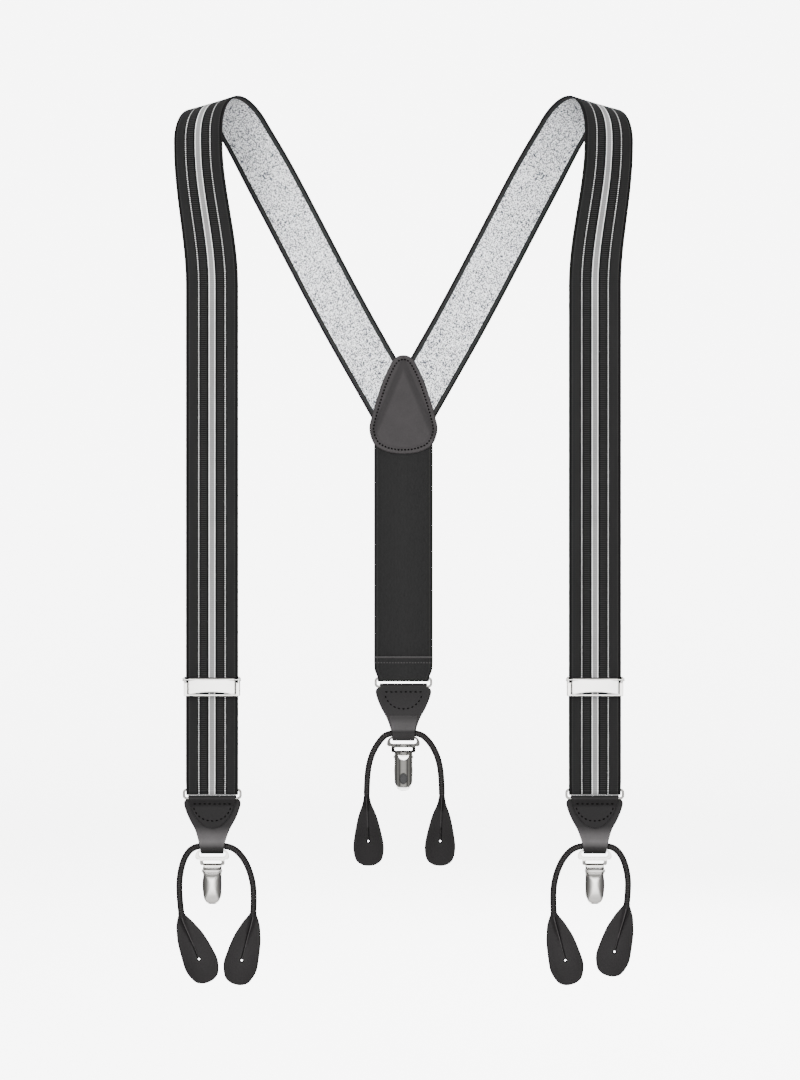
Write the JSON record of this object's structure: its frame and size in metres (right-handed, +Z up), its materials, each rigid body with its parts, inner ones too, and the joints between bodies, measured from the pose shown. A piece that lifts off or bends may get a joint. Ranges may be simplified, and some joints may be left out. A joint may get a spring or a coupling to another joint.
{
  "type": "suspenders",
  "caption": "Y-back dress suspenders: two striped straps, leather yoke, rear elastic, slide adjusters, lever clips and leather button ears, hung from the shoulders.",
  "frame": {"origin": "midway between the two shoulders, at the height of the inside of the strap folds", "axes": "+Z up; -Y the wearer's front; +X to the right as seen from the front"},
  "size_m": [0.3076, 0.0563, 0.5967],
  "materials": {
    "striped_webbing": "woven, ribbed stripes",
    "black_elastic": "fine matt weave",
    "black_leather": "smooth, semi-matt",
    "runner_leather": "rolled and pressed, semi-matt",
    "polished_nickel": "polished nickel plate",
    "satin_nickel": "satin nickel plate",
    "grip_pad": "moulded"
  },
  "bodies": {
    "straps": {"strap_left": "striped_webbing", "strap_right": "striped_webbing", "strap_lower_left": "striped_webbing", "strap_lower_right": "striped_webbing", "yoke_patch_inner": "black_leather", "yoke_patch_outer": "black_leather", "rear_elastic": "black_elastic"},
    "loop_left": {"strap_fold_left": "striped_webbing", "strap_return_left": "striped_webbing"},
    "adjuster_left": {"adjuster_frame_left": "polished_nickel", "adjuster_pin_left": "polished_nickel", "strap_end_left": "striped_webbing"},
    "adjuster_lever_left": {"adjuster_lever_left": "satin_nickel"},
    "loop_right": {"strap_fold_right": "striped_webbing", "strap_return_right": "striped_webbing"},
    "adjuster_right": {"adjuster_frame_right": "polished_nickel", "adjuster_pin_right": "polished_nickel", "strap_end_right": "striped_webbing"},
    "adjuster_lever_right": {"adjuster_lever_right": "satin_nickel"},
    "rear_end": {"rear_hem": "black_elastic"},
    "end_ring_left": {"end_ring_left": "polished_nickel"},
    "leather_tab_left": {"leather_tab_left": "black_leather"},
    "clip_left": {"clip_body_left": "polished_nickel", "clip_pin_left": "polished_nickel"},
    "clip_lever_left": {"clip_lever_left": "satin_nickel"},
    "clip_jaw_left": {"clip_jaw_left": "polished_nickel", "clip_pad_left": "grip_pad"},
    "runner_left": {"runner_cord_left": "runner_leather", "runner_ear_outer_left": "runner_leather", "runner_ear_inner_left": "runner_leather"},
    "end_ring_right": {"end_ring_right": "polished_nickel"},
    "leather_tab_right": {"leather_tab_right": "black_leather"},
    "clip_right": {"clip_body_right": "polished_nickel", "clip_pin_right": "polished_nickel"},
    "clip_lever_right": {"clip_lever_right": "satin_nickel"},
    "clip_jaw_right": {"clip_jaw_right": "polished_nickel", "clip_pad_right": "grip_pad"},
    "runner_right": {"runner_cord_right": "runner_leather", "runner_ear_outer_right": "runner_leather", "runner_ear_inner_right": "runner_leather"},
    "end_ring_rear": {"end_ring_rear": "polished_nickel"},
    "leather_tab_rear": {"leather_tab_rear": "black_leather"},
    "clip_rear": {"clip_body_rear": "polished_nickel", "clip_pin_rear": "polished_nickel"},
    "clip_lever_rear": {"clip_lever_rear": "satin_nickel"},
    "clip_jaw_rear": {"clip_jaw_rear": "polished_nickel", "clip_pad_rear": "grip_pad"},
    "runner_rear": {"runner_cord_rear": "runner_leather", "runner_ear_left_rear": "runner_leather", "runner_ear_right_rear": "runner_leather"}
  },
  "joints": [
    {"name": "length_left", "type": "slide", "parent": "straps", "child": "loop_left", "axis": [0, 0, 1], "range_m": [-0.03, 0.095], "deforming": ["strap_lower_left"]},
    {"name": "adjuster_travel_left", "type": "slide", "parent": "loop_left", "child": "adjuster_left", "axis": [0, 0, 1], "range_m": [-0.03, 0.095], "deforming": ["strap_return_left"]},
    {"name": "adjuster_lock_left", "type": "hinge", "parent": "adjuster_left", "child": "adjuster_lever_left", "pos_m": [-0.1277, -0.0233, -0.3835], "axis": [-1, 0, 0], "range_deg": [0, 110]},
    {"name": "length_right", "type": "slide", "parent": "straps", "child": "loop_right", "axis": [0, 0, 1], "range_m": [-0.03, 0.095], "deforming": ["strap_lower_right"]},
    {"name": "adjuster_travel_right", "type": "slide", "parent": "loop_right", "child": "adjuster_right", "axis": [0, 0, 1], "range_m": [-0.03, 0.095], "deforming": ["strap_return_right"]},
    {"name": "adjuster_lock_right", "type": "hinge", "parent": "adjuster_right", "child": "adjuster_lever_right", "pos_m": [0.1277, -0.0233, -0.3835], "axis": [-1, 0, 0], "range_deg": [0, 110]},
    {"name": "rear_stretch", "type": "slide", "parent": "straps", "child": "rear_end", "axis": [0, 0, -1], "range_m": [0, 0.08], "stiffness_N_per_m": 125, "springref_m": -0.0014, "deforming": ["rear_elastic"]},
    {"name": "ring_swing_left", "type": "hinge", "parent": "loop_left", "child": "end_ring_left", "pos_m": [-0.1277, -0.0187, -0.4572], "axis": [1, 0, 0], "range_deg": [-50, 50]},
    {"name": "tab_swing_left", "type": "hinge", "parent": "end_ring_left", "child": "leather_tab_left", "pos_m": [-0.1277, -0.0187, -0.463], "axis": [-1, 0, 0], "range_deg": [-60, 60]},
    {"name": "clip_swing_left", "type": "hinge", "parent": "leather_tab_left", "child": "clip_left", "pos_m": [-0.1277, -0.0187, -0.4976], "axis": [1, 0, 0], "range_deg": [-45, 45]},
    {"name": "clip_release_left", "type": "hinge", "parent": "clip_left", "child": "clip_lever_left", "pos_m": [-0.1277, -0.0208, -0.5111], "axis": [-1, 0, 0], "range_deg": [0, 110]},
    {"name": "jaw_opening_left", "type": "hinge", "parent": "clip_left", "child": "clip_jaw_left", "pos_m": [-0.1277, -0.01805, -0.5093], "axis": [-1, 0, 0], "range_deg": [0, 20]},
    {"name": "runner_swing_left", "type": "hinge", "parent": "leather_tab_left", "child": "runner_left", "pos_m": [-0.1277, -0.0187, -0.4942], "axis": [1, 0, 0], "range_deg": [-65, 65]},
    {"name": "ring_swing_right", "type": "hinge", "parent": "loop_right", "child": "end_ring_right", "pos_m": [0.1277, -0.0187, -0.4572], "axis": [1, 0, 0], "range_deg": [-50, 50]},
    {"name": "tab_swing_right", "type": "hinge", "parent": "end_ring_right", "child": "leather_tab_right", "pos_m": [0.1277, -0.0187, -0.463], "axis": [-1, 0, 0], "range_deg": [-60, 60]},
    {"name": "clip_swing_right", "type": "hinge", "parent": "leather_tab_right", "child": "clip_right", "pos_m": [0.1277, -0.0187, -0.4976], "axis": [1, 0, 0], "range_deg": [-45, 45]},
    {"name": "clip_release_right", "type": "hinge", "parent": "clip_right", "child": "clip_lever_right", "pos_m": [0.1277, -0.0208, -0.5111], "axis": [-1, 0, 0], "range_deg": [0, 110]},
    {"name": "jaw_opening_right", "type": "hinge", "parent": "clip_right", "child": "clip_jaw_right", "pos_m": [0.1277, -0.01805, -0.5093], "axis": [-1, 0, 0], "range_deg": [0, 20]},
    {"name": "runner_swing_right", "type": "hinge", "parent": "leather_tab_right", "child": "runner_right", "pos_m": [0.1277, -0.0187, -0.4942], "axis": [1, 0, 0], "range_deg": [-65, 65]},
    {"name": "ring_swing_rear", "type": "hinge", "parent": "rear_end", "child": "end_ring_rear", "pos_m": [0, 0.0187, -0.3846], "axis": [-1, 0, 0], "range_deg": [-50, 50]},
    {"name": "tab_swing_rear", "type": "hinge", "parent": "end_ring_rear", "child": "leather_tab_rear", "pos_m": [0, 0.0187, -0.3904], "axis": [1, 0, 0], "range_deg": [-60, 60]},
    {"name": "clip_swing_rear", "type": "hinge", "parent": "leather_tab_rear", "child": "clip_rear", "pos_m": [0, 0.0187, -0.425], "axis": [-1, 0, 0], "range_deg": [-45, 45]},
    {"name": "clip_release_rear", "type": "hinge", "parent": "clip_rear", "child": "clip_lever_rear", "pos_m": [0, 0.0208, -0.4385], "axis": [1, 0, 0], "range_deg": [0, 110]},
    {"name": "jaw_opening_rear", "type": "hinge", "parent": "clip_rear", "child": "clip_jaw_rear", "pos_m": [0, 0.01805, -0.4367], "axis": [1, 0, 0], "range_deg": [0, 20]},
    {"name": "runner_swing_rear", "type": "hinge", "parent": "leather_tab_rear", "child": "runner_rear", "pos_m": [0, 0.0187, -0.4216], "axis": [-1, 0, 0], "range_deg": [-65, 65]}
  ],
  "couplings": [
    {"joint": "adjuster_travel_left", "follows": "length_left", "ratio": 1},
    {"joint": "adjuster_travel_right", "follows": "length_right", "ratio": 1},
    {"joint": "jaw_opening_left", "follows": "clip_release_left", "ratio": 0.18},
    {"joint": "jaw_opening_right", "follows": "clip_release_right", "ratio": 0.18},
    {"joint": "jaw_opening_rear", "follows": "clip_release_rear", "ratio": 0.18}
  ]
}
